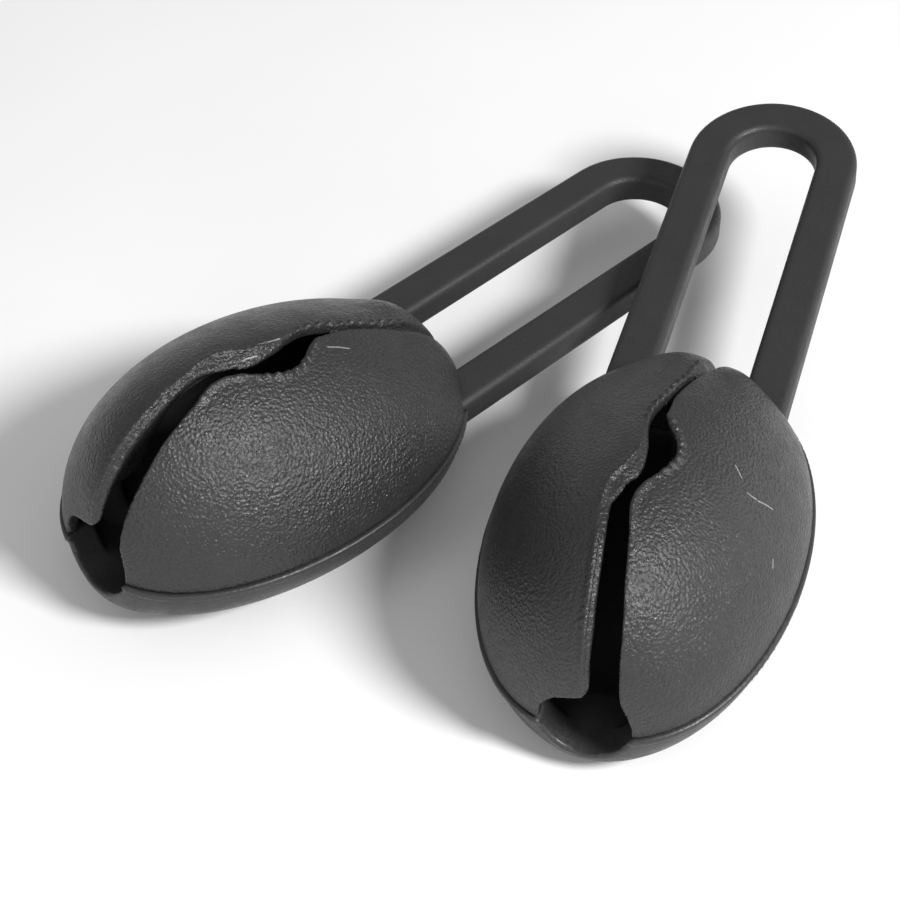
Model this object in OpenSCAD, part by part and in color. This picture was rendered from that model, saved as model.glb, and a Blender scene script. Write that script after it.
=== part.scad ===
// Pair of moulded castanets. Each one is an egg-shaped clapper of two hollow shells,
// hinged at the rear on a hidden pin, with a flat finger loop behind it.
// The left castanet lies level along +X. The right one lies beside it, its loop
// resting across the left loop. Origin: under the middle of the left shell, on the table.

/* [Shells] */
// Length of each shell, front to rear
shell_length = 72; // [60:1:84]
// Width of the shells at their widest
shell_width = 50; // [40:1:62]
// Height of the upper shell above the seam
dome_height = 24.9; // [18:0.1:30]
// Depth of the lower shell below the seam
bowl_depth = 14.7; // [11:0.1:18]
// Thickness of the shell walls
wall = 4.5; // [3:0.25:5.5]
// Thickness of the solid nose that the front hole passes through
nose_wall = 11; // [6:0.5:13]
// How much is taken off the lower shell to give it a flat to rest on
flat_cut = 1.2; // [0.6:0.1:1.8]

/* [Seam and front hole] */
// Gap along the seam while the shells are closed
seam_gap = 0.2; // [0.1:0.05:0.4]
// How far the lower shell's rim stands out past the upper shell
lip_out = 0.5; // [0.2:0.1:0.8]
// Height of the lower shell's rim
lip_height = 1.2; // [0.8:0.1:2]
// Diameter of the hole at the front
hole_diameter = 14; // [10:0.2:18]
// Height of the hole's centre above the seam
hole_rise = 1.2; // [0:0.1:3]

/* [Slot] */
// Width of the slot at the front
slot_width = 4.2; // [3:0.1:5]
// Width of the slot at its narrow neck
neck_width = 2.6; // [1.5:0.1:3.5]
// Width of the eye behind the neck
eye_width = 5; // [3.5:0.1:7]
// How far the slot lies off the middle at the front, to the right
slot_offset = 3.8; // [2:0.1:5]
// Width of the blind groove that carries on from the slot
groove_width = 0.9; // [0.5:0.1:1.5]
// Depth of the blind groove
groove_depth = 1.4; // [0.8:0.1:2]
// Radius of the notch between the two rear lobes
notch_radius = 1.7; // [1:0.1:2.5]
// How far the rear lobes on both sides of the notch swell out of the dome
lobe_swell = 1; // [0:0.1:1.5]

/* [Finger loop] */
// How far the loop reaches behind the shells
loop_reach = 68.1; // [50:1:80]
// Width of the gap inside the loop
loop_gap = 15.6; // [14:0.2:20]
// Width of each leg where it leaves the shells
leg_width = 7.7; // [5:0.1:9]
// Width of the loop's material round its far end
tip_width = 7.25; // [5:0.05:9]
// Thickness of the loop
loop_thickness = 5.55; // [4:0.05:7]
// How far the middle of the loop's thickness lies below the seam
loop_drop = 1.64; // [0.8:0.02:2.5]

/* [Hinge] */
// How far the upper shell opens, in degrees
open_angle = 10; // [5:1:15]
// Distance from the rear of the shells to the hinge pin
pin_inset = 8; // [7:0.5:10]
// Radius of the hinge pin
pin_radius = 1.1; // [0.8:0.05:1.4]
// Radial running clearance of the pin in the upper shell
pin_clearance = 0.05; // [0.02:0.01:0.1]
// Radius of the knuckles round the pin
knuckle_radius = 2.3; // [2:0.1:2.8]
// Width of the lower shell's middle knuckle
mid_knuckle = 4.8; // [3:0.2:6]
// Gap beside each moving face inside the castanet
side_gap = 0.3; // [0.2:0.05:0.5]

/* [Lying pose] */
// How far behind the left castanet's middle the right one lies
right_back = 28.2; // [20:0.1:40]
// How far beside the left castanet's middle the right one lies
right_side = 58.2; // [54:0.1:75]
// Turn of the right castanet, seen from above
right_turn = 28.5; // [20:0.1:40]
// Lean of the right castanet towards the left one
right_lean = 2.6; // [0:0.1:5]
// Gap left between the crossed loops
cross_gap = 0.3; // [0.1:0.1:0.6]

/* [Hidden] */
$fn = 64;
eps = 0.01;
past = 1; // how far a cutter runs past the face it opens

// Shape of the shells: fullness below 1 makes the ends blunter than an ellipse,
// lean moves the bulk towards the rear, and power 2 is an elliptical section.
plan_fullness = 0.83;
plan_lean = 0.035;
dome_fullness = 0.76;
dome_lean = -0.34;
dome_power = 1.62;
bowl_fullness = 0.31;
bowl_lean = 0.12;
bowl_power = 2.28;
stations = 32; // facets along the length
sides = 20; // facets across

// A body is its length, width, height, fullness, lean, power, the middle of its length and its swell
dome_outer = [shell_length, shell_width, dome_height, dome_fullness, dome_lean, dome_power, 0, lobe_swell];
dome_inner = hollow(dome_outer);
bowl_outer = [shell_length, shell_width, bowl_depth, bowl_fullness, bowl_lean, bowl_power, 0, 0];
bowl_inner = hollow(bowl_outer);

half_length = shell_length / 2;
deepest = max([for (t = [1:179]) profile(t, bowl_outer)]);
rest_depth = deepest - flat_cut; // resting flat below the seam

// Slot, groove and rear notch: distances back from the front of the shells, and offsets to the right
straight_end = 0.31 * shell_length;
neck_at = 0.37 * shell_length;
eye_at = 0.5 * shell_length;
slot_end = 0.68 * shell_length;
groove_end = 0.88 * shell_length;
neck_offset = slot_offset - 1.4;
eye_offset = slot_offset + 0.3;
groove_offset = slot_offset - 1.8;
notch_offset = slot_offset - 0.2;
slot_step = 1; // distance between the points that the slot's edges are drawn through

// Loop
loop_width = loop_gap + 2 * leg_width;
tip_outer = loop_gap / 2 + tip_width;
tip_centre = half_length + loop_reach - tip_outer;
leg_middle = (loop_gap + leg_width) / 2;

// Hinge
pin_x = half_length - pin_inset;
pin_length = loop_gap + 1.4 * leg_width;
knuckle_outer = loop_gap / 2 - side_gap;
relief_angle = open_angle + 0.5;

// Lying pose
cross_at = (right_side - loop_width / 2 * (1 + cos(right_turn))) / sin(right_turn);
right_tilt = asin((loop_thickness + cross_gap + loop_width / 2 * sin(right_lean)) / cross_at);
right_height = -min([
    for (t = [1:2:179]) for (a = [10:5:170]) tilted_height(t, a)
]);

function hollow(body) = [
    body[0] - wall - nose_wall, body[1] - 2 * wall, body[2] - wall,
    body[3], body[4], body[5], (nose_wall - wall) / 2, 0
];

// A smooth step between two values as the share runs from 0 to 1
function ease(from, to, share) = from + (to - from) * (1 - cos(180 * max(0, min(1, share)))) / 2;

// Half width and height of a body at the angle t along it: 0 is the rear, 180 the front
function half_width(t, body) = body[1] / 2 * pow(sin(t), plan_fullness) * (1 + plan_lean * cos(t));

function profile(t, body) = body[2] * pow(sin(t), body[3]) * (1 + body[4] * cos(t));

// Swell of the two rear lobes over a point of the plan, as a share of its height
function lobes(x, y) =
    bump(x - 0.41 * shell_length, 0.056 * shell_length, y - 0.04 * shell_width, 0.1 * shell_width)
    + bump(x - 0.417 * shell_length, 0.056 * shell_length, y + 0.157 * shell_width, 0.07 * shell_width);

function bump(x, x_spread, y, y_spread) = exp(-pow(x / x_spread, 2) - pow(y / y_spread, 2));

// A point of a body's surface: a is the angle round its section, from one rim to the other
function surface_point(t, a, body) =
    let (
        x = body[6] + body[0] / 2 * cos(t),
        y = half_width(t, body) * sign(cos(a)) * pow(abs(cos(a)), 2 / body[5]),
        z = profile(t, body) * pow(sin(a), 2 / body[5]),
        swell = body[7] * sin(a) * lobes(x, y)
    )
    [x + 0.6 * swell, y, z + 0.8 * swell];

// Height of the point of the lower shell at (t, a), once it leans and tilts as the right one does
function tilted_height(t, a) =
    let (p = surface_point(t, a, bowl_outer), z = -min(p[2], rest_depth))
    p[0] * sin(right_tilt) + (z * cos(right_lean) - p[1] * sin(right_lean)) * cos(right_tilt);

// Height of the upper shell over a point of the plan
function dome_top(x, y) =
    let (
        t = acos(x / half_length),
        across = min(1, abs(y) / half_width(t, dome_outer))
    )
    profile(t, dome_outer) * pow(1 - pow(across, dome_power), 1 / dome_power);

// Plan of the shells at the seam, made larger all round by grow
function outline(grow) =
    let (body = [shell_length + 2 * grow, shell_width + 2 * grow])
    [
        for (t = [0:5:355])
            [body[0] / 2 * cos(t), sign(sin(t)) * half_width(t > 180 ? 360 - t : t, body)]
    ];

// Middle and width of the slot at a distance back from the front
function slot_middle(x) =
    x < straight_end ? ease(-slot_offset, -neck_offset, x / straight_end)
    : x < eye_at ? ease(-neck_offset, -eye_offset, (x - straight_end) / (eye_at - straight_end))
    : ease(-eye_offset, -groove_offset, (x - eye_at) / (slot_end - eye_at));

function slot_breadth(x) =
    x < neck_at ? ease(slot_width, neck_width, x / neck_at)
    : x < eye_at ? ease(neck_width, eye_width, (x - neck_at) / (eye_at - neck_at))
    : ease(eye_width, groove_width, (x - eye_at) / (slot_end - eye_at));

// One closed half of a hollow body, open towards -Z, its rim on z = 0
module half_shell(outer, inner) {
    ring = sides + 1;
    layer = (stations - 1) * ring;
    rear = 2 * layer;
    front = rear + 2;

    function vertex(skin, i, j) = skin * layer + (i - 1) * ring + j;
    function flip(face, skin) = skin == 0 ? face : [face[2], face[1], face[0]];

    skins = [
        for (body = [outer, inner])
            for (i = [1:stations - 1])
                for (j = [0:sides]) surface_point(180 * i / stations, 180 * j / sides, body)
    ];
    poles = [
        for (end = [1, -1]) for (body = [outer, inner]) [body[6] + end * body[0] / 2, 0, 0]
    ];
    walls = [
        for (skin = [0, 1]) for (i = [1:stations - 2]) for (j = [0:sides - 1]) each [
            flip([vertex(skin, i, j), vertex(skin, i, j + 1), vertex(skin, i + 1, j + 1)], skin),
            flip([vertex(skin, i, j), vertex(skin, i + 1, j + 1), vertex(skin, i + 1, j)], skin)
        ]
    ];
    caps = [
        for (skin = [0, 1]) for (j = [0:sides - 1]) each [
            flip([rear + skin, vertex(skin, 1, j + 1), vertex(skin, 1, j)], skin),
            flip([front + skin, vertex(skin, stations - 1, j), vertex(skin, stations - 1, j + 1)], skin)
        ]
    ];
    rims = [
        for (j = [0, sides]) for (i = [1:stations - 2]) each [
            flip([vertex(0, i, j), vertex(0, i + 1, j), vertex(1, i + 1, j)], j),
            flip([vertex(0, i, j), vertex(1, i + 1, j), vertex(1, i, j)], j)
        ]
    ];
    rim_ends = [
        for (j = [0, sides]) each [
            flip([rear, vertex(0, 1, j), vertex(1, 1, j)], j),
            flip([rear, vertex(1, 1, j), rear + 1], j),
            flip([front, vertex(1, stations - 1, j), vertex(0, stations - 1, j)], j),
            flip([front, front + 1, vertex(1, stations - 1, j)], j)
        ]
    ];
    polyhedron(points = concat(skins, poles), faces = concat(walls, caps, rims, rim_ends));
}

// A cylinder along Y, centred on the hinge axis
module hinge_rod(radius, length) {
    translate([pin_x, length / 2, -loop_drop])
        rotate([90, 0, 0])
            cylinder(r = radius, h = length);
}

// A block centred on y, from x_from to x_to and z_from to z_to
module block(x_from, x_to, width, z_from, z_to, y = 0) {
    translate([x_from, y - width / 2, z_from])
        cube([x_to - x_from, width, z_to - z_from]);
}

// Clearance under a plane that rises to the rear from the hinge, for the shell to swing down into
module swing_relief(width, z_top, y = 0) {
    translate([pin_x, y - width / 2, z_top])
        rotate([0, -relief_angle, 0])
            translate([0, 0, -wall])
                cube([2 * pin_inset, width, wall]);
}

module front_hole() {
    translate([-half_length - lip_out - past, 0, hole_rise])
        rotate([0, 90, 0])
            cylinder(d = hole_diameter, h = nose_wall + wall + lip_out);
}

// The slot: an almost straight part, a sideways step through a neck, and an eye that narrows again
module slot() {
    stops = [for (x = [-2 * past:slot_step:slot_end]) x];
    back = [for (i = [len(stops) - 1:-1:0]) stops[i]];
    translate([-half_length, 0, 0])
        linear_extrude(height = 2 * dome_height)
            polygon(concat(
                [for (x = stops) [x, slot_middle(x) + slot_breadth(x) / 2]],
                [for (x = back) [x, slot_middle(x) - slot_breadth(x) / 2]]
            ));
}

// Blind groove along the falling rear of the dome, and the notch between the rear lobes
module rear_groove() {
    start = [slot_end - half_length, -groove_offset];
    finish = [groove_end - half_length, -notch_offset];
    z_start = dome_top(start[0], start[1]);
    z_finish = dome_top(finish[0], finish[1]);
    run = finish[0] - start[0];
    slope = atan2(z_start - z_finish, run);
    turn = atan2(finish[1] - start[1], run);
    translate([start[0], start[1], z_start - groove_depth])
        rotate([0, slope, turn])
            translate([-past, -groove_width / 2, 0])
                cube([norm([run, z_start - z_finish]) + 3 * past, groove_width, 3 * groove_depth]);
    translate([finish[0], finish[1], z_finish])
        rotate([0, 90 + slope, 0])
            cylinder(r1 = notch_radius * 0.6, r2 = notch_radius * 1.6, h = 2 * pin_inset);
}

module upper_knuckles() {
    width = knuckle_outer - mid_knuckle / 2 - side_gap;
    middle = knuckle_outer - width / 2;
    for (side = [-1, 1]) {
        translate([0, side * middle, 0])
            hinge_rod(knuckle_radius, width);
        block(
            pin_x - knuckle_radius, pin_x + knuckle_radius / 3, width,
            -loop_drop, dome_height * 0.35, y = side * middle
        );
    }
}

module upper_shell() {
    leg_room = leg_width + 2 * side_gap;
    leg_top = loop_thickness / 2 - loop_drop + side_gap;
    leg_end = pin_x - loop_thickness / 2 - side_gap;
    difference() {
        union() {
            difference() {
                translate([0, 0, seam_gap / 2])
                    half_shell(dome_outer, dome_inner);
                swing_relief(shell_width, seam_gap / 2);
                for (side = [-1, 1]) {
                    block(leg_end, pin_x + past, leg_room, 0, leg_top, y = side * leg_middle);
                    swing_relief(leg_room, leg_top, y = side * leg_middle);
                }
            }
            upper_knuckles();
        }
        slot();
        rear_groove();
        front_hole();
        hinge_rod(pin_radius + pin_clearance, shell_width);
    }
}

module rim_lip() {
    translate([0, 0, -lip_height])
        linear_extrude(height = lip_height)
            difference() {
                polygon(outline(lip_out));
                polygon(outline(-wall / 2));
            }
}

module lower_shell() {
    leg_room = leg_width + eps;
    leg_bottom = -loop_drop - loop_thickness / 2 - eps;
    room = knuckle_outer + side_gap - mid_knuckle / 2;
    difference() {
        union() {
            difference() {
                translate([0, 0, -seam_gap / 2]) {
                    mirror([0, 0, 1])
                        half_shell(bowl_outer, bowl_inner);
                    rim_lip();
                }
                for (side = [-1, 1])
                    translate([0, side * (mid_knuckle + room) / 2, 0])
                        hinge_rod(knuckle_radius + side_gap, room);
            }
            hinge_rod(knuckle_radius, mid_knuckle);
            block(
                pin_x - knuckle_radius, pin_x + knuckle_radius, mid_knuckle,
                -bowl_depth * 0.8, -loop_drop
            );
        }
        for (side = [-1, 1])
            block(
                pin_x - loop_thickness / 2 - side_gap, half_length + past, leg_room,
                leg_bottom, past, y = side * leg_middle
            );
        front_hole();
        hinge_rod(pin_radius, shell_width);
        translate([0, 0, -rest_depth - bowl_depth])
            block(-shell_length, shell_length, shell_width, 0, bowl_depth);
    }
}

// Plan of a stadium with straight flanks that taper from the hinge to its round tip
module stadium(root_width, tip_radius) {
    translate([tip_centre, 0])
        circle(r = tip_radius);
    polygon([
        [pin_x, -root_width / 2],
        [tip_centre, -tip_radius],
        [tip_centre, tip_radius],
        [pin_x, root_width / 2]
    ]);
}

module finger_loop() {
    difference() {
        union() {
            translate([0, 0, -loop_drop - loop_thickness / 2])
                linear_extrude(height = loop_thickness)
                    difference() {
                        stadium(loop_width, tip_outer);
                        stadium(loop_gap, loop_gap / 2);
                        translate([pin_x, 0])
                            square([eps, loop_gap], center = true);
                    }
            for (side = [-1, 1])
                translate([0, side * leg_middle, 0])
                    hinge_rod(loop_thickness / 2, leg_width);
        }
        hinge_rod(pin_radius, pin_length);
    }
}

module hinge_pin() {
    hinge_rod(pin_radius, pin_length);
}

module left_place() {
    translate([0, 0, rest_depth])
        children();
}

module right_place() {
    translate([right_back, -right_side, right_height + seam_gap / 2])
        rotate([0, 0, right_turn])
            rotate([0, -right_tilt, 0])
                rotate([-right_lean, 0, 0])
                    children();
}

module left_upper_shell() {
    color("#2b2b2c")
        left_place()
            upper_shell();
}

module left_lower_shell() {
    color("#38383a")
        left_place()
            lower_shell();
}

module left_finger_loop() {
    color("#333335")
        left_place()
            finger_loop();
}

module left_hinge_pin() {
    color("#9a9a9c")
        left_place()
            hinge_pin();
}

module right_upper_shell() {
    color("#2b2b2c")
        right_place()
            upper_shell();
}

module right_lower_shell() {
    color("#38383a")
        right_place()
            lower_shell();
}

module right_finger_loop() {
    color("#333335")
        right_place()
            finger_loop();
}

module right_hinge_pin() {
    color("#9a9a9c")
        right_place()
            hinge_pin();
}

left_upper_shell();
left_lower_shell();
left_finger_loop();
left_hinge_pin();
right_upper_shell();
right_lower_shell();
right_finger_loop();
right_hinge_pin();
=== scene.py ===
"""Looks of the pair of moulded castanets: grained shells, loops, steel pins, floor, light and camera.

Shapes are worked out in millimetres in one castanet's own frame: +X to the loop at the rear, +Y to
its left, and z = 0 on the seam. Each shell and loop is a field of signed distances, negative inside
the plastic, meshed by surface_net() and then set down in the place of its castanet.
"""

import math
from collections import namedtuple
from functools import partial

import bpy
import numpy as np
from mathutils import Matrix, Vector


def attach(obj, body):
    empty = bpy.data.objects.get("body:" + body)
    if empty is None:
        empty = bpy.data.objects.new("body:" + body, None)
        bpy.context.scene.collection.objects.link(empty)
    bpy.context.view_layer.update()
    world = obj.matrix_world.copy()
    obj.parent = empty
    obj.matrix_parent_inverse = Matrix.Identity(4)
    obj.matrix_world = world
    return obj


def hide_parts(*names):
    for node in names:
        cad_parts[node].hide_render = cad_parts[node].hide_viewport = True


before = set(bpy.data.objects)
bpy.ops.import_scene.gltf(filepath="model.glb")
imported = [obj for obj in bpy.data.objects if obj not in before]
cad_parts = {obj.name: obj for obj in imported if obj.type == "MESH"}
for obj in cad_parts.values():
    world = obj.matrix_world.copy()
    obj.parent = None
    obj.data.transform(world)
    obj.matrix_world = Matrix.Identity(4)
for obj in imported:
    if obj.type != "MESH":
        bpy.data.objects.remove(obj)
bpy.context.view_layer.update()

MM = 0.001

# ---------------------------------------------------------------- sizes, as in the CAD part

SHELL_LENGTH = 72.0
SHELL_WIDTH = 50.0
WALL = 4.5
NOSE_WALL = 11.0
SEAM_GAP = 0.2
LIP_OUT = 0.5
LIP_HEIGHT = 1.2
HOLE_RADIUS = 7.0
HOLE_RISE = 1.2
REST_DEPTH = 13.811  # the flat underneath, below the seam
LOOP_REACH = 68.1
LOOP_GAP = 15.6
LEG_WIDTH = 7.7
TIP_WIDTH = 7.25
LOOP_THICKNESS = 5.55
LOOP_DROP = 1.64
PIN_INSET = 8.0
KNUCKLE_RADIUS = 2.3
MID_KNUCKLE = 4.8
WEB_REACH = 0.35     # how far the knuckles' webs reach up the dome, as a share of its height
POST_REACH = 0.8     # how far the middle knuckle's post reaches down the bowl
SIDE_GAP = 0.3
RELIEF_ANGLE = math.radians(10.5)
PLAN_FULLNESS = 0.83
PLAN_LEAN = 0.035

HALF_LENGTH = SHELL_LENGTH / 2
PIN_X = HALF_LENGTH - PIN_INSET
TIP_OUTER = LOOP_GAP / 2 + TIP_WIDTH
TIP_CENTRE = HALF_LENGTH + LOOP_REACH - TIP_OUTER
LEG_MIDDLE = (LOOP_GAP + LEG_WIDTH) / 2
LOOP_HALF_WIDTH = LOOP_GAP / 2 + LEG_WIDTH
KNUCKLE_OUTER = LOOP_GAP / 2 - SIDE_GAP

RIGHT_BACK = 28.2
RIGHT_SIDE = 58.2
RIGHT_HEIGHT = 15.255
RIGHT_TURN = math.radians(28.5)
RIGHT_TILT = math.radians(6.173)
RIGHT_LEAN = math.radians(2.6)

# A shell body: fullness below 1 makes its ends blunter than an ellipse, lean moves its bulk towards
# the rear, power 2 is an elliptical section, and middle is where the middle of its length lies
Body = namedtuple("Body", "length width height fullness lean power middle")


def hollow(body):
    """The cavity inside a shell body."""
    return body._replace(
        length=body.length - WALL - NOSE_WALL,
        width=body.width - 2 * WALL,
        height=body.height - WALL,
        middle=(NOSE_WALL - WALL) / 2,
    )


def grown(body, by):
    """The body with its plan made larger all round."""
    return body._replace(length=body.length + 2 * by, width=body.width + 2 * by)


DOME = Body(SHELL_LENGTH, SHELL_WIDTH, 24.9, 0.76, -0.34, 1.62, 0.0)
BOWL = Body(SHELL_LENGTH, SHELL_WIDTH, 14.7, 0.31, 0.12, 2.28, 0.0)

# ---------------------------------------------------------------- details that only show up close

EDGE = 0.7          # how far the moulded edges are eased
FINE_EDGE = 0.35    # the same for the crisp edges at the slot and seam
DETAIL_EDGE = 0.3   # and round the foot of beads and ridges
LOOP_ROUND = 1.3    # radius of the loop's long edges

# Edges of the slot and of the groove behind it, and the rough line that bounds the ledge on its left.
# Each stop is how far it lies behind the middle of the shell, and to its left.
SLOT_LEFT = [
    (-38, -1.4), (-34, -1.7), (-30, -2.0), (-26, -1.8), (-22, -1.5), (-18, -1.0), (-14.5, -0.5),
    (-12, -0.3), (-10, -0.9), (-8, -1.8), (-6, -2.7), (-3.5, -2.9), (-1, -2.6), (1.5, -2.2),
    (4, -1.4), (7, -0.8), (9.5, -0.8), (13, -1.4), (17, -2.1), (23, -2.9), (38, -4.6),
]
SLOT_RIGHT = [
    (-38, -5.9), (-34, -5.9), (-30, -5.95), (-27, -5.7), (-24, -5.2), (-20.6, -4.8), (-16, -4.0),
    (-12.5, -3.2), (-9.8, -3.3), (-6.1, -4.5), (-3, -5.8), (0, -6.6), (2.5, -6.2), (4.8, -5.1),
    (7, -3.7), (9, -2.8), (13, -2.6), (17, -2.8), (22, -3.6), (26, -4.4), (38, -5.8),
]
LEDGE_LINE = [
    (-38, -0.9), (-32, -1.1), (-29, -1.1), (-26, -1.0), (-22, -0.6), (-18, -0.1), (-14, 0.5),
    (-11, 0.9), (-8, 1.0), (-6.3, 0.4), (-4.5, -0.7), (-1.5, -1.5), (1.2, -1.6), (4, -1.2),
    (7, -0.8), (38, -4.6),
]
SLOT_LEAN = {"left": -0.02, "right": 0.07}  # how far the slot leans to the left, as a share of the height
SLOT_REAR = 13.0      # where the slot ends and the groove carries on
SLOT_SKIN = 1.7       # thickness left of the dome beside the slot, where it is relieved from inside
SLOT_RELIEF = 3.0     # how far that relief reaches beside the slot
LEDGE_REAR = 5.0      # where the ledge ends
LEDGE_STEP = 0.3      # depth of the ledge at its line
LEDGE_SLOPE = 0.45    # how fast it falls away towards the slot
DOME_NOSE_SKIN = 3.2  # thickness left round the front hole, in the upper shell
BOWL_NOSE_SKIN = 6.0  # and in the lower shell
NOSE_ROOM = 10.5      # radius of the room behind it
HOLE_CORNER = 3.0     # how far the corners between slot and hole are rounded

# The groove behind the slot, and the notch between the rear lobes that it widens into
GROOVE_FRONT = 10.0
GROOVE_LEAST = 0.45  # least half width
GROOVE_DEPTH = 1.5
GROOVE_SCALE = 0.6   # turns a share of the groove's section into about a distance
NOTCH_FRONT = 24.0
NOTCH_RUN = 10.0     # how far the groove takes to widen
NOTCH_WIDER = 1.1
NOTCH_DEEPER = 2.0

# A lobe at the rear of the upper shell swells out of it, and fades over its spread
Lobe = namedtuple("Lobe", "swell middle spread")
LOBES = [
    Lobe(1.0, (29.5, 2.0), (4.0, 5.0)),
    Lobe(0.9, (30.0, -8.0), (4.0, 3.5)),
]

# Moulded beads and ridges beside an edge of the slot: first and last are distances along that edge,
# and offset is how far they stand away from it
Beads = namedtuple("Beads", "first last pitch radius offset")
Ridge = namedtuple("Ridge", "first last radius offset")

LEDGE_RIDGE = Ridge(4, 24, 0.42, 0.3)
LEDGE_BEADS_FRONT = Beads(9, 22, 1.15, 0.4, 0.6)
LEDGE_BEADS_REAR = Beads(28, 41, 1.0, 0.45, 0.35)
SLOT_BEADS = Beads(8, 26, 1.5, 0.3, 0.15)
EYE_RIDGE = Ridge(23, 35.5, 0.62, 0.45)
EYE_BEADS = Beads(35.5, 49, 1.75, 0.62, 0.8)
GROOVE_BEADS = Beads(49, 68, 2.0, 0.6, 0.65)


class Line:
    """A smooth line in plan through control points, with its slope and the distance along it."""

    STEP = 0.1
    END = 40.0

    def __init__(self, stops, ease=2.0):
        reach = [stop[0] for stop in stops]
        offset = [stop[1] for stop in stops]
        self.x = np.arange(-self.END, self.END, self.STEP)
        window = np.hanning(round(ease / self.STEP) + 2)
        margin = len(window)
        raw = np.pad(np.interp(self.x, reach, offset), margin, mode="edge")
        smooth = np.convolve(raw, window / window.sum(), mode="same")
        self.y = smooth[margin:-margin]
        self.slope = np.gradient(self.y, self.STEP)
        self.run = np.cumsum(np.hypot(1, self.slope)) * self.STEP

    def beside(self, x, y):
        """Distance to the left of the line, and the distance along it."""
        away = (y - np.interp(x, self.x, self.y)) / np.hypot(1, np.interp(x, self.x, self.slope))
        return away, np.interp(x, self.x, self.run)


LEFT_EDGE = Line(SLOT_LEFT)
RIGHT_EDGE = Line(SLOT_RIGHT)
LEDGE_EDGE = Line(LEDGE_LINE, ease=1.2)

# ---------------------------------------------------------------- signed distances

TINY = 1e-4        # keeps the formulas finite on the middle plane and the seam
ENDS = 0.9999      # the same at the front and rear of a body
ENDS_BLUNT = 0.06  # and keeps its slope there from growing without end
FAR = 5.0          # a distance that no join reaches


def smooth_max(a, b, ease):
    """What lies in both shapes, the edge between them rounded off."""
    return np.maximum(a, b) + np.maximum(ease - np.abs(a - b), 0) ** 2 / (4 * ease)


def smooth_min(a, b, ease):
    """What lies in either shape, the corner between them filled."""
    return -smooth_max(-a, -b, ease)


def cut(shape, tool, ease):
    return smooth_max(shape, -tool, ease)


def body_distance(x, y, z, body):
    """Distance from the surface of a shell body. Above and below the seam it is the same."""
    c = np.clip((x - body.middle) / (body.length / 2), -ENDS, ENDS)
    s = np.sqrt(1 - c * c)
    half = body.width / 2 * s ** PLAN_FULLNESS * (1 + PLAN_LEAN * c)
    height = body.height * s ** body.fullness * (1 + body.lean * c)
    blunt = c / np.maximum(s ** 2, ENDS_BLUNT)
    half_rate = (PLAN_LEAN / (1 + PLAN_LEAN * c) - PLAN_FULLNESS * blunt) * 2 / body.length
    height_rate = (body.lean / (1 + body.lean * c) - body.fullness * blunt) * 2 / body.length
    across = np.maximum(np.abs(y), TINY) / half
    up = np.maximum(np.abs(z), TINY) / height
    r = (across ** body.power + up ** body.power) ** (1 / body.power)
    scale = r ** (1 - body.power)
    slope_y = scale * across ** (body.power - 1) / half
    slope_z = scale * up ** (body.power - 1) / height
    slope_x = scale * (across ** body.power * half_rate + up ** body.power * height_rate)
    distance = (r - 1) / np.sqrt(slope_x ** 2 + slope_y ** 2 + slope_z ** 2)
    return np.maximum(distance, np.abs(x - body.middle) - body.length / 2)


def box_distance(x, y, z, low, high):
    gaps = [
        np.abs(value - (a + b) / 2) - (b - a) / 2
        for value, a, b in zip((x, y, z), low, high)
    ]
    outside = np.sqrt(sum(np.maximum(gap, 0) ** 2 for gap in gaps))
    return outside + np.minimum(np.maximum.reduce(gaps), 0)


def rod_distance(x, y, z, radius, y_from, y_to):
    """A rod along the hinge axis, between two distances from the middle on both sides."""
    round_gap = np.hypot(x - PIN_X, z + LOOP_DROP) - radius
    end_gap = np.abs(np.abs(y) - (y_from + y_to) / 2) - (y_to - y_from) / 2
    return np.maximum(round_gap, end_gap)


def under_relief(x, z, z_top):
    """Below the plane that rises to the rear from over the hinge."""
    return (z - z_top) * math.cos(RELIEF_ANGLE) - np.maximum(x - PIN_X, 0) * math.sin(RELIEF_ANGLE)


def front_hole(x, y, z):
    return np.maximum(np.hypot(y, z - HOLE_RISE) - HOLE_RADIUS, x + HALF_LENGTH - NOSE_WALL - WALL)


def nose_room(x, y, z, outer, skin):
    """The wider room behind the front hole, under the skin of the nose."""
    round_gap = np.hypot(y, z - HOLE_RISE) - NOSE_ROOM
    return np.maximum.reduce([round_gap, outer + skin, x + HALF_LENGTH - NOSE_WALL - WALL])


def gauss(x, y, middle, spread):
    return np.exp(-((x - middle[0]) / spread[0]) ** 2 - ((y - middle[1]) / spread[1]) ** 2)


def scatter(number):
    """A share from 0 to 1 that jumps about from one number to the next."""
    return np.modf(np.abs(np.sin(number * 12.9898)) * 437.58)[0]


def beads(row, away, run, height):
    """A row of moulded beads beside a line, radius varying a little from bead to bead."""
    place = (run - row.first) / row.pitch
    number = np.clip(np.round(place), 0, round((row.last - row.first) / row.pitch))
    size = row.radius * (0.85 + 0.3 * scatter(number))
    along = (place - number) * row.pitch
    sunk = height + 0.25 * row.radius
    return np.sqrt(along ** 2 + (away - row.offset) ** 2 + sunk ** 2) - size


def ridge(row, away, run, height):
    """A thin raised line beside a slot edge, fading in and out at its ends."""
    fade = np.clip(np.minimum(run - row.first, row.last - run) / 2, 0, 1)
    sunk = height + 0.35 * row.radius
    return np.hypot(away - row.offset, sunk) - row.radius * fade + (fade <= 0) * FAR


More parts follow.
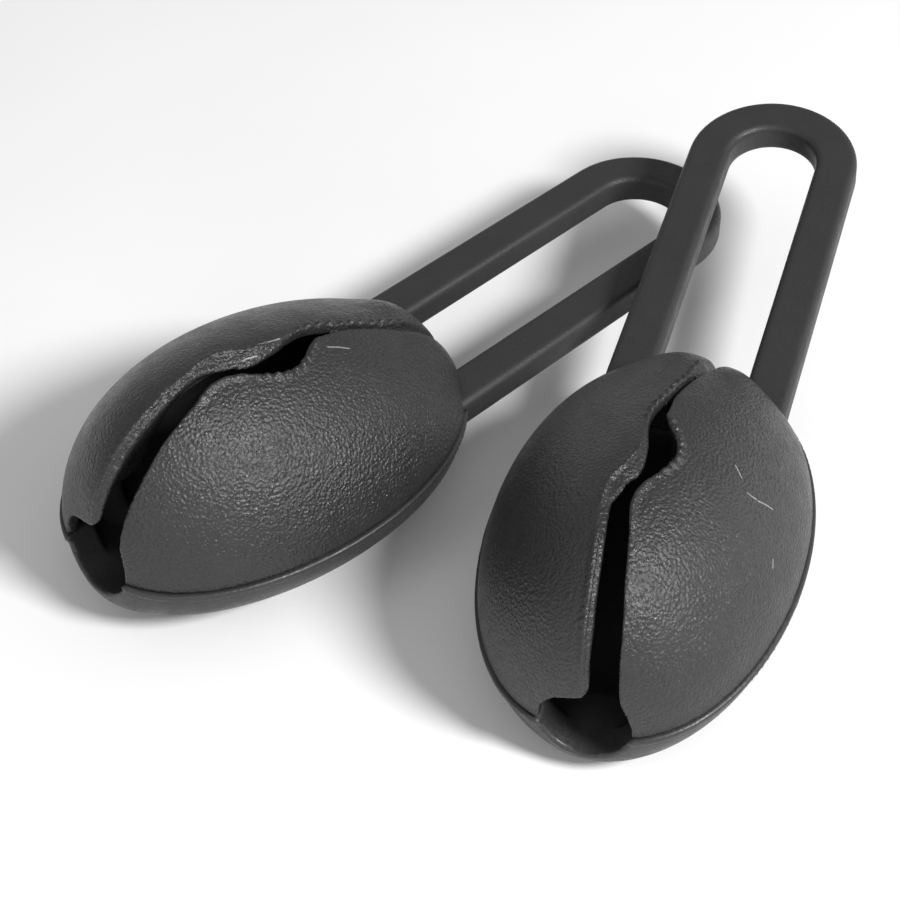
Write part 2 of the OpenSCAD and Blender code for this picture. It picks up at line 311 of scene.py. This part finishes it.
def rear_groove(x, left, right, outer):
    """The blind groove between the slot's two edges, behind the slot, and the notch it widens into."""
    notch = np.clip((x - NOTCH_FRONT) / NOTCH_RUN, 0, 1)
    half = np.maximum(-(left + right) / 2, GROOVE_LEAST) + NOTCH_WIDER * notch
    depth = GROOVE_DEPTH + NOTCH_DEEPER * notch
    section = np.hypot((left - right) / 2 / half, np.minimum(outer, 0) / depth) - 1
    return np.maximum(section * GROOVE_SCALE, GROOVE_FRONT - x)


def upper_leg_room(x, y, z):
    """Room in the upper shell for the legs of the loop, at every angle it opens to."""
    return np.maximum.reduce([
        np.abs(np.abs(y) - LEG_MIDDLE) - LEG_WIDTH / 2 - SIDE_GAP,
        under_relief(x, z, LOOP_THICKNESS / 2 - LOOP_DROP + SIDE_GAP),
        PIN_X - LOOP_THICKNESS / 2 - SIDE_GAP - x,
    ])


def upper_knuckles(x, y, z):
    """The two knuckles of the upper shell, each with the web that hangs it from the dome."""
    inner_end = MID_KNUCKLE / 2 + SIDE_GAP
    knuckle = rod_distance(x, y, z, KNUCKLE_RADIUS, inner_end, KNUCKLE_OUTER)
    web = box_distance(
        x, np.abs(y), z,
        (PIN_X - KNUCKLE_RADIUS, inner_end, -LOOP_DROP),
        (PIN_X + KNUCKLE_RADIUS / 3, KNUCKLE_OUTER, DOME.height * WEB_REACH),
    )
    return np.minimum(knuckle, web)


def upper_shell(x, y, z, lean):
    """The upper shell, its slot leaning to the left."""
    lobes = sum(lobe.swell * gauss(x, y, lobe.middle, lobe.spread) for lobe in LOBES)
    outer = body_distance(x, y, z, DOME) - lobes
    inner = body_distance(x, y, z, hollow(DOME))
    shape = cut(outer, inner, EDGE)
    shape = smooth_max(shape, SEAM_GAP / 2 - z, FINE_EDGE)

    upright = y - lean * z
    left, left_run = LEFT_EDGE.beside(x, upright)
    right, right_run = RIGHT_EDGE.beside(x, upright)
    ledge, ledge_run = LEDGE_EDGE.beside(x, upright)
    right = -right
    ledge_depth = LEDGE_STEP - LEDGE_SLOPE * ledge
    ledge_room = np.maximum.reduce([ledge, right, -outer - ledge_depth, x - LEDGE_REAR])
    shape = cut(shape, ledge_room, FINE_EDGE)
    details = [
        ridge(LEDGE_RIDGE, ledge, ledge_run, outer),
        beads(LEDGE_BEADS_FRONT, ledge, ledge_run, outer),
        beads(LEDGE_BEADS_REAR, ledge, ledge_run, outer),
        beads(SLOT_BEADS, left, left_run, outer + ledge_depth),
        ridge(EYE_RIDGE, right, right_run, outer),
        beads(EYE_BEADS, right, right_run, outer),
        beads(GROOVE_BEADS, left, left_run, outer),
    ]
    for detail in details:
        shape = smooth_min(shape, detail, DETAIL_EDGE)

    beyond = np.maximum(left, right)
    slot_relief = np.maximum.reduce([
        beyond - SLOT_RELIEF,
        x - SLOT_REAR - SLOT_RELIEF,
        outer + SLOT_SKIN,
    ])
    shape = cut(shape, slot_relief, EDGE)
    shape = cut(shape, nose_room(x, y, z, outer, DOME_NOSE_SKIN), EDGE)
    slot = np.maximum(beyond, x - SLOT_REAR)
    opening = smooth_min(slot, front_hole(x, y, z), HOLE_CORNER)
    shape = cut(shape, opening, FINE_EDGE)
    shape = cut(shape, rear_groove(x, left, right, outer), FINE_EDGE)

    shape = cut(shape, under_relief(x, z, SEAM_GAP / 2), FINE_EDGE)
    shape = cut(shape, upper_leg_room(x, y, z), FINE_EDGE)
    return smooth_min(shape, upper_knuckles(x, y, z), FINE_EDGE)


def lower_knuckle(x, y, z):
    """The middle knuckle, on a post that stands in the bowl."""
    post = box_distance(
        x, y, z,
        (PIN_X - KNUCKLE_RADIUS, -MID_KNUCKLE / 2, -BOWL.height * POST_REACH),
        (PIN_X + KNUCKLE_RADIUS, MID_KNUCKLE / 2, -LOOP_DROP),
    )
    knuckle = rod_distance(x, y, z, KNUCKLE_RADIUS, -MID_KNUCKLE / 2, MID_KNUCKLE / 2)
    return np.minimum(knuckle, post)


def lower_shell(x, y, z):
    outer = body_distance(x, y, z, BOWL)
    inner = body_distance(x, y, z, hollow(BOWL))
    lip = np.maximum.reduce([
        body_distance(x, y, 0 * z, grown(BOWL, LIP_OUT)),
        -body_distance(x, y, 0 * z, grown(BOWL, -WALL / 2)),
        -LIP_HEIGHT - SEAM_GAP / 2 - z,
    ])
    shape = smooth_min(outer, lip, FINE_EDGE)
    shape = cut(shape, inner, EDGE)
    shape = smooth_max(shape, z + SEAM_GAP / 2, FINE_EDGE)

    room_to = KNUCKLE_OUTER + SIDE_GAP
    knuckle_room = rod_distance(x, y, z, KNUCKLE_RADIUS + SIDE_GAP, MID_KNUCKLE / 2, room_to)
    shape = cut(shape, knuckle_room, FINE_EDGE)
    shape = smooth_min(shape, lower_knuckle(x, y, z), FINE_EDGE)

    leg_room = np.maximum.reduce([
        np.abs(np.abs(y) - LEG_MIDDLE) - LEG_WIDTH / 2,
        -LOOP_DROP - LOOP_THICKNESS / 2 - z,
        PIN_X - LOOP_THICKNESS / 2 - SIDE_GAP - x,
    ])
    shape = cut(shape, leg_room, FINE_EDGE)
    shape = cut(shape, nose_room(x, y, z, outer, BOWL_NOSE_SKIN), EDGE)
    shape = cut(shape, front_hole(x, y, z), EDGE)
    return smooth_max(shape, -REST_DEPTH - z, EDGE)


def finger_loop(x, y, z):
    run = TIP_CENTRE - PIN_X
    taper = (LOOP_HALF_WIDTH - TIP_OUTER) / run
    straight = math.sqrt(1 - taper ** 2)
    ahead = x - PIN_X
    across = np.abs(y)
    flank = straight * across + taper * ahead - LOOP_HALF_WIDTH
    tip = np.hypot(x - TIP_CENTRE, y) - TIP_OUTER
    outer = np.where(straight * (x - TIP_CENTRE) > taper * across, tip, flank)
    outer = np.maximum(outer, -ahead - LOOP_THICKNESS)
    inner = np.hypot(np.maximum(x - TIP_CENTRE, 0), y) - LOOP_GAP / 2
    plan = np.maximum(outer, -inner) + LOOP_ROUND
    upright = np.abs(z + LOOP_DROP) - LOOP_THICKNESS / 2 + LOOP_ROUND
    bar = np.hypot(np.maximum(plan, 0), np.maximum(upright, 0))
    bar = bar + np.minimum(np.maximum(plan, upright), 0) - LOOP_ROUND
    rear_end = np.where(ahead > 0, -1.0, np.hypot(ahead, z + LOOP_DROP) - LOOP_THICKNESS / 2)
    return np.maximum(bar, rear_end)


# ---------------------------------------------------------------- meshing


def axis_steps(low, high, step, fine=None):
    """Places of the grid's layers along one axis; fine = (from, to, step) has its own step."""
    if fine is None:
        return np.linspace(low, high, round((high - low) / step) + 1)
    start, end, fine_step = fine
    parts = [
        np.linspace(low, start, round((start - low) / step) + 1)[:-1],
        np.linspace(start, end, round((end - start) / fine_step) + 1)[:-1],
        np.linspace(end, high, round((high - end) / step) + 1),
    ]
    return np.concatenate(parts)


def unpinched(field, rounds=10, least=0.001):
    """The field without grid squares that are inside at opposite corners only.

    Two sheets of the surface would share an edge there.
    """
    field = field.copy()
    square = [(0, 0), (1, 0), (1, 1), (0, 1)]
    for _ in range(rounds):
        found = 0
        for u, v in ((0, 1), (1, 2), (2, 0)):
            inside = []
            for corner in square:
                part = [slice(None)] * 3
                part[u] = slice(corner[0], field.shape[u] - 1 + corner[0])
                part[v] = slice(corner[1], field.shape[v] - 1 + corner[1])
                inside.append(field[tuple(part)] < 0)
            a, b, c, d = inside
            pinched = np.argwhere((a == c) & (b == d) & (a != b))
            found += len(pinched)
            for place in pinched:
                corners = []
                for corner in square:
                    spot = place.copy()
                    spot[[u, v]] += corner
                    corners.append(tuple(spot))
                weakest = min(corners, key=lambda spot: abs(field[spot]))
                field[weakest] = least if field[weakest] < 0 else -least
        if not found:
            break
    return field


def surface_net(field, axes):
    """Points and four-sided faces where a field changes sign on a grid, faces turned outwards."""
    inside = field < 0
    size = np.array(field.shape)
    corners = [(i, j, k) for i in (0, 1) for j in (0, 1) for k in (0, 1)]

    def shifted(values, corner):
        return values[tuple(slice(c, n - 1 + c) for c, n in zip(corner, size))]

    count = sum(shifted(inside, corner).astype(np.int8) for corner in corners)
    active = (count > 0) & (count < 8)
    cells = np.argwhere(active)
    index = np.full(active.shape, -1, np.int64)
    index[active] = np.arange(len(cells))

    total = np.zeros((len(cells), 3))
    hits = np.zeros(len(cells))
    for corner in corners:
        for axis in range(3):
            if corner[axis]:
                continue
            other = tuple(c + (n == axis) for n, c in enumerate(corner))
            near = field[tuple((cells + corner).T)]
            far = field[tuple((cells + other).T)]
            crosses = (near < 0) != (far < 0)
            place = cells + np.array(corner, float)
            place[:, axis] += np.where(crosses, near / np.where(crosses, near - far, 1), 0)
            total[crosses] += place[crosses]
            hits[crosses] += 1
    place = total / hits[:, None]
    points = np.stack([
        np.interp(place[:, n], np.arange(size[n]), axes[n]) for n in range(3)
    ], axis=1)

    faces = []
    for axis in range(3):
        u, v = (axis + 1) % 3, (axis + 2) % 3
        near = [slice(0, n) for n in size]
        near[u] = slice(1, size[u] - 1)
        near[v] = slice(1, size[v] - 1)
        far = list(near)
        near[axis] = slice(0, size[axis] - 1)
        far[axis] = slice(1, size[axis])
        crossings = np.argwhere(inside[tuple(near)] != inside[tuple(far)])
        leaving = inside[tuple(near)][tuple(crossings.T)]
        base = crossings.copy()
        base[:, u] += 1
        base[:, v] += 1
        ring = []
        for du, dv in ((-1, -1), (0, -1), (0, 0), (-1, 0)):
            cell = base.copy()
            cell[:, u] += du
            cell[:, v] += dv
            ring.append(index[tuple(cell.T)])
        quads = np.stack(ring, axis=1)
        quads[~leaving] = quads[~leaving][:, ::-1]
        faces.append(quads)
    return points, np.concatenate(faces)


def slopes(shape, points, reach=0.02):
    """Direction in which a shape's distance grows at each point."""
    found = np.zeros_like(points)
    for axis in range(3):
        step = np.zeros(3)
        step[axis] = reach
        found[:, axis] = (shape(*(points + step).T) - shape(*(points - step).T)) / (2 * reach)
    return found


def settle(shape, points, rounds=3, limit=0.25):
    """Moves points onto the shape's exact surface."""
    for _ in range(rounds):
        grow = slopes(shape, points)
        move = -shape(*points.T)[:, None] * grow / np.maximum((grow ** 2).sum(axis=1), 0.05)[:, None]
        length = np.linalg.norm(move, axis=1)[:, None]
        points = points + move * np.minimum(1, limit / np.maximum(length, 1e-9))
    return points


def moulded_mesh(name, shape, axes):
    grid = np.meshgrid(*axes, indexing="ij")
    points, faces = surface_net(unpinched(shape(*grid)), axes)
    points = settle(shape, points) * MM
    mesh = bpy.data.meshes.new(name)
    mesh.vertices.add(len(points))
    mesh.vertices.foreach_set("co", points.ravel())
    mesh.loops.add(faces.size)
    mesh.loops.foreach_set("vertex_index", faces.ravel().astype(np.int32))
    mesh.polygons.add(len(faces))
    mesh.polygons.foreach_set("loop_start", np.arange(0, faces.size, 4, dtype=np.int32))
    mesh.update(calc_edges=True)
    mesh.validate()
    mesh.shade_smooth()
    return mesh


# ---------------------------------------------------------------- materials


class Nodes:
    """Short ways to build a material's node tree."""

    def __init__(self, name):
        self.material = bpy.data.materials.new(name)
        self.material.use_nodes = True
        self.tree = self.material.node_tree
        self.shader = self.tree.nodes["Principled BSDF"]
        self.place = self.add("ShaderNodeTexCoord").outputs["Object"]

    def add(self, kind, **settings):
        node = self.tree.nodes.new(kind)
        for key, value in settings.items():
            setattr(node, key, value)
        return node

    def link(self, source, target):
        self.tree.links.new(source, target)

    def noise(self, size, detail=2.0, rough=0.5, place=None):
        node = self.add("ShaderNodeTexNoise")
        node.inputs["Scale"].default_value = 1 / size
        node.inputs["Detail"].default_value = detail
        node.inputs["Roughness"].default_value = rough
        self.link(place or self.place, node.inputs["Vector"])
        return node.outputs["Fac"]

    def cells(self, size, feature="F1", smooth=None, place=None):
        node = self.add("ShaderNodeTexVoronoi", feature=feature)
        node.inputs["Scale"].default_value = 1 / size
        if smooth is not None:
            node.inputs["Smoothness"].default_value = smooth
        self.link(place or self.place, node.inputs["Vector"])
        return node

    def ramp(self, value, low, high, to_low=0.0, to_high=1.0):
        node = self.add("ShaderNodeMapRange", interpolation_type="SMOOTHSTEP")
        node.inputs["From Min"].default_value = low
        node.inputs["From Max"].default_value = high
        node.inputs["To Min"].default_value = to_low
        node.inputs["To Max"].default_value = to_high
        self.link(value, node.inputs["Value"])
        return node.outputs["Result"]

    def maths(self, operation, a, b=None):
        node = self.add("ShaderNodeMath", operation=operation)
        for socket, value in zip(node.inputs, (a, b)):
            if value is None:
                continue
            if isinstance(value, (int, float)):
                socket.default_value = value
            else:
                self.link(value, socket)
        return node.outputs[0]

    def shift(self, offset):
        node = self.add("ShaderNodeVectorMath", operation="ADD")
        self.link(self.place, node.inputs[0])
        node.inputs[1].default_value = offset
        return node.outputs[0]

    def offset_from(self, point):
        return self.shift(-point)

    def dot(self, a, direction):
        node = self.add("ShaderNodeVectorMath", operation="DOT_PRODUCT")
        self.link(a, node.inputs[0])
        node.inputs[1].default_value = direction
        return node.outputs["Value"]

    def mix(self, share, a, b):
        node = self.add("ShaderNodeMix", data_type="RGBA")
        self.link(share, node.inputs["Factor"])
        colours = [s for s in node.inputs if s.type == "RGBA"]
        for socket, value in zip(colours, (a, b)):
            if isinstance(value, tuple):
                socket.default_value = (*value, 1)
            else:
                self.link(value, socket)
        return [s for s in node.outputs if s.type == "RGBA"][0]

    def bump(self, height, distance):
        node = self.add("ShaderNodeBump")
        node.inputs["Distance"].default_value = distance
        self.link(height, node.inputs["Height"])
        return node.outputs["Normal"]


# A hair-thin mark on a dome, seen from above: its middle, its length and its heading from +X in degrees
Mark = namedtuple("Mark", "x y length heading")
HAIRLINES = {
    "left": [
        Mark(11.2, -6.2, 4.3, -18),
        Mark(1.1, -1.5, 4.6, -4),
        Mark(-3.4, -2.5, 3.0, -8),
    ],
    "right": [
        Mark(4.3, -13.7, 2.4, 42),
        Mark(1.6, -16.4, 1.6, -83),
        Mark(2.2, -18.4, 2.7, -66),
        Mark(-5.4, -21.4, 1.5, 11),
    ],
}
HAIR_WIDTH = 0.13
HAIR_WAVE = 0.4  # how far a mark strays from straight
MARK_TONE = 0.25

DUST_SPACING = 0.0052
DUST_SCATTER = 41.0      # picks which specks show
DUST_SIZE = (0.028, 0.045)
GLOSS_SWING = 0.06       # how far roughness falls on top of a pebble and rises between pebbles
SPECULAR = 0.45

# A plastic's finish: base tone, roughness, and the size and depth of its grain, in metres
Finish = namedtuple("Finish", "tone roughness grain grain_depth")
GRAINED = Finish(0.016, 0.33, 0.00058, 0.0002)
SMOOTH = Finish(0.022, 0.4, 0.0006, 0.00003)
LOOPED = Finish(0.018, 0.5, 0.0005, 0.00004)


def on_dome(x, y):
    """The point of the dome's plain form over a place of the plan, in millimetres."""
    c = x / HALF_LENGTH
    s = math.sqrt(1 - c * c)
    across = abs(y) / (DOME.width / 2 * s ** PLAN_FULLNESS * (1 + PLAN_LEAN * c))
    height = DOME.height * s ** DOME.fullness * (1 + DOME.lean * c)
    return Vector((x, y, height * (1 - across ** DOME.power) ** (1 / DOME.power)))


def hairline(nodes, place, mark):
    """Where a hair-thin mark crosses the surface."""
    heading = math.radians(mark.heading)
    x_half = mark.length / 2 * math.cos(heading)
    y_half = mark.length / 2 * math.sin(heading)
    start = on_dome(mark.x - x_half, mark.y - y_half) * MM
    along = on_dome(mark.x + x_half, mark.y + y_half) * MM - start
    across = along.cross(start).normalized()
    start = place @ start
    along = place.to_3x3() @ along
    across = place.to_3x3() @ across
    offset = nodes.offset_from(start)
    reach = nodes.dot(offset, along / along.length_squared)
    stray = nodes.maths("SUBTRACT", nodes.noise(0.002), 0.5)
    wave = nodes.maths("MULTIPLY", stray, HAIR_WAVE * MM)
    away = nodes.maths("ABSOLUTE", nodes.maths("ADD", nodes.dot(offset, across), wave))
    thin = nodes.ramp(away, HAIR_WIDTH / 2 * MM, HAIR_WIDTH * MM, 1.0, 0.0)
    from_middle = nodes.maths("ABSOLUTE", nodes.maths("SUBTRACT", reach, 0.5))
    ends = nodes.ramp(from_middle, 0.4, 0.5, 1.0, 0.0)
    return nodes.maths("MULTIPLY", thin, ends)


def dust(nodes, place):
    """Small pale specks, one in some of the cells."""
    spots = nodes.cells(DUST_SPACING, place=place)
    near = nodes.ramp(spots.outputs["Distance"], *DUST_SIZE, 1.0, 0.0)
    draw = nodes.maths("MULTIPLY", nodes.noise(DUST_SPACING, 0, 0, place), DUST_SCATTER)
    chosen = nodes.ramp(nodes.maths("FRACT", draw), 0.9, 1.0)
    return nodes.maths("MULTIPLY", near, chosen)


def grey(value):
    """A grey that is a trace blue."""
    return (value, value, value * 1.01)


def plastic(name, finish, seed, place=None, hairs=()):
    """Black moulded plastic: a fine spark-eroded grain, dust, hair-thin marks and uneven gloss."""
    n = Nodes(name)
    spot = n.shift((seed * 0.013, seed * 0.007, seed * 0.005))
    pebble = n.cells(finish.grain, "SMOOTH_F1", 0.35, spot).outputs["Distance"]
    fine = n.noise(finish.grain * 0.7, detail=2.0, rough=0.6, place=spot)
    broad = n.noise(0.012, detail=3.0, rough=0.6, place=spot)
    wear = n.noise(0.004, detail=4.0, rough=0.65, place=spot)

    speck = dust(n, spot)
    for mark in hairs:
        speck = n.maths("MAXIMUM", speck, hairline(n, place, mark))

    tone = n.mix(n.ramp(broad, 0.3, 0.7), grey(finish.tone * 0.86), grey(finish.tone * 1.12))
    tone = n.mix(n.ramp(fine, 0.35, 0.75), tone, grey(finish.tone * 1.25))
    tone = n.mix(speck, tone, grey(MARK_TONE))
    n.link(tone, n.shader.inputs["Base Color"])

    worn = n.ramp(wear, 0.3, 0.7, -0.06, 0.07)
    low, high = finish.roughness - GLOSS_SWING, finish.roughness + GLOSS_SWING
    gloss = n.maths("ADD", worn, n.ramp(pebble, 0.1, 0.6, low, high))
    n.link(gloss, n.shader.inputs["Roughness"])
    n.shader.inputs["Specular IOR Level"].default_value = SPECULAR

    height = n.maths("ADD", n.maths("MULTIPLY", pebble, -0.75), n.maths("MULTIPLY", fine, 0.9))
    n.link(n.bump(height, finish.grain_depth), n.shader.inputs["Normal"])
    return n.material


def steel(name):
    """Drawn pin wire: a fine noise bump on its surface and a little tarnish."""
    n = Nodes(name)
    tarnish = n.noise(0.003, 4.0, 0.6)
    tone = n.mix(n.ramp(tarnish, 0.35, 0.7), (0.42, 0.42, 0.43), (0.24, 0.235, 0.23))
    n.link(tone, n.shader.inputs["Base Color"])
    n.link(n.ramp(tarnish, 0.3, 0.7, 0.28, 0.5), n.shader.inputs["Roughness"])
    n.shader.inputs["Metallic"].default_value = 1.0
    n.link(n.bump(n.noise(0.0003, 2.0), 0.00002), n.shader.inputs["Normal"])
    return n.material


# ---------------------------------------------------------------- the object


def left_place():
    return Matrix.Translation((0, 0, REST_DEPTH * MM))


def right_place():
    move = Matrix.Translation((RIGHT_BACK * MM, -RIGHT_SIDE * MM, RIGHT_HEIGHT * MM))
    turn = Matrix.Rotation(RIGHT_TURN, 4, "Z")
    tilt = Matrix.Rotation(-RIGHT_TILT, 4, "Y")
    lean = Matrix.Rotation(-RIGHT_LEAN, 4, "X")
    return move @ turn @ tilt @ lean


def build_meshes():
    """The four shapes, each on a grid that reaches a little past it."""
    coarse = 0.5
    upright = 0.4
    along = (-37.2, 37.2)
    across = (-26.7, 26.7)
    dome_axes = [
        axis_steps(*along, 0.42),
        axis_steps(*across, 0.56, fine=(-8.7, 1.3, 0.3)),
        axis_steps(-4.4, 27.4, 0.42),
    ]
    bowl_axes = [
        axis_steps(*along, coarse),
        axis_steps(*across, coarse),
        axis_steps(-14.3, 1.6, upright),
    ]
    loop_axes = [
        axis_steps(24.6, 105.6, coarse),
        axis_steps(-15.8, 15.8, coarse),
        axis_steps(-4.6, 1.9, upright),
    ]
    meshes = {
        "lower_shell": moulded_mesh("lower_shell", lower_shell, bowl_axes),
        "finger_loop": moulded_mesh("finger_loop", finger_loop, loop_axes),
    }
    for side, lean in SLOT_LEAN.items():
        dome = partial(upper_shell, lean=lean)
        meshes[f"{side}_upper_shell"] = moulded_mesh(f"{side}_dome", dome, dome_axes)
    return meshes


def add_piece(side, part, mesh, place, material, body):
    """Sets a copy of the mesh down in its castanet's place, instead of the CAD part."""
    mesh = mesh.copy()
    mesh.name = f"{side}_{part}_skin"
    mesh.materials.clear()
    mesh.materials.append(material)
    mesh.transform(place)
    piece = bpy.data.objects.new(mesh.name, mesh)
    bpy.context.scene.collection.objects.link(piece)
    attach(piece, body)
    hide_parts(f"{side}_{part}")


def build_castanet(side, place, seed, meshes, pin_steel):
    grained = plastic(f"{side}_grained", GRAINED, seed, place, HAIRLINES[side])
    smooth = plastic(f"{side}_smooth", SMOOTH, seed + 2)
    looped = plastic(f"{side}_loop", LOOPED, seed + 4)
    dome = meshes[f"{side}_upper_shell"]
    base = f"{side}_base"
    add_piece(side, "upper_shell", dome, place, grained, f"{side}_clapper")
    add_piece(side, "lower_shell", meshes["lower_shell"], place, smooth, base)
    add_piece(side, "finger_loop", meshes["finger_loop"], place, looped, base)
    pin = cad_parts[f"{side}_hinge_pin"]
    pin.data.materials.clear()
    pin.data.materials.append(pin_steel)


def build_castanets():
    meshes = build_meshes()
    pin_steel = steel("pin_steel")
    build_castanet("left", left_place(), 0, meshes, pin_steel)
    build_castanet("right", right_place(), 1, meshes, pin_steel)


# ---------------------------------------------------------------- floor, light and camera

CAMERA_TARGET = Vector((31.79, -10.31, -0.75)) * MM
CAMERA_AZIMUTH = math.radians(-43.65)
CAMERA_DOWN = math.radians(45.28)
CAMERA_DISTANCE = 405.8 * MM
CAMERA_LENS = 94.05
CAMERA_SENSOR = 36
CAMERA_NEAR = 0.01

Lamp = namedtuple("Lamp", "azimuth down size power")
LAMPS = {
    "key": Lamp(10, 42, 0.22, 10),
    "side": Lamp(70, 12, 0.3, 0.6),
    "front": Lamp(-55, 15, 0.4, 1.5),
    "left": Lamp(-100, 35, 0.4, 0.8),
}
LAMP_DISTANCE = 0.9
WORLD_STRENGTH = 0.42
FLOOR_HALF = 3.0
FLOOR_TONES = (0.77, 0.81)
FLOOR_ROUGHNESS = 0.9


def facing(azimuth, down):
    """The way a camera or lamp looks that is turned by azimuth from +Y and tipped down."""
    level = math.cos(down)
    return Vector((-math.sin(azimuth) * level, math.cos(azimuth) * level, -math.sin(down)))


def aim(thing, place, direction):
    thing.location = place
    thing.rotation_euler = direction.to_track_quat("-Z", "Y").to_euler()
    bpy.context.scene.collection.objects.link(thing)


def add_camera():
    lens = bpy.data.cameras.new("camera")
    lens.lens = CAMERA_LENS
    lens.sensor_width = CAMERA_SENSOR
    lens.clip_start = CAMERA_NEAR
    camera = bpy.data.objects.new("camera", lens)
    look = facing(CAMERA_AZIMUTH, CAMERA_DOWN)
    aim(camera, CAMERA_TARGET - look * CAMERA_DISTANCE, look)
    bpy.context.scene.camera = camera


def add_lamp(name, settings):
    light = bpy.data.lights.new(name, "AREA")
    light.shape = "DISK"
    light.size = settings.size
    light.energy = settings.power
    lamp = bpy.data.objects.new(name, light)
    look = facing(math.radians(settings.azimuth), math.radians(settings.down))
    aim(lamp, CAMERA_TARGET - look * LAMP_DISTANCE, look)


def add_floor():
    mesh = bpy.data.meshes.new("floor")
    corners = [
        (x * FLOOR_HALF, y * FLOOR_HALF, 0)
        for x, y in ((-1, -1), (1, -1), (1, 1), (-1, 1))
    ]
    mesh.from_pydata(corners, [], [(0, 1, 2, 3)])
    floor = bpy.data.objects.new("floor", mesh)
    bpy.context.scene.collection.objects.link(floor)
    n = Nodes("floor_paper")
    low, high = [(tone, tone, tone) for tone in FLOOR_TONES]
    n.link(n.mix(n.noise(0.05, 4.0), low, high), n.shader.inputs["Base Color"])
    n.shader.inputs["Roughness"].default_value = FLOOR_ROUGHNESS
    mesh.materials.append(n.material)


def add_world():
    world = bpy.data.worlds.new("studio")
    world.use_nodes = True
    sky = world.node_tree.nodes["Background"]
    sky.inputs["Color"].default_value = (1, 1, 1, 1)
    sky.inputs["Strength"].default_value = WORLD_STRENGTH
    bpy.context.scene.world = world


build_castanets()
add_floor()
add_world()
for lamp_name, lamp_settings in LAMPS.items():
    add_lamp(lamp_name, lamp_settings)
add_camera()
bpy.context.scene.view_settings.view_transform = "Standard"

bpy.context.view_layer.update()
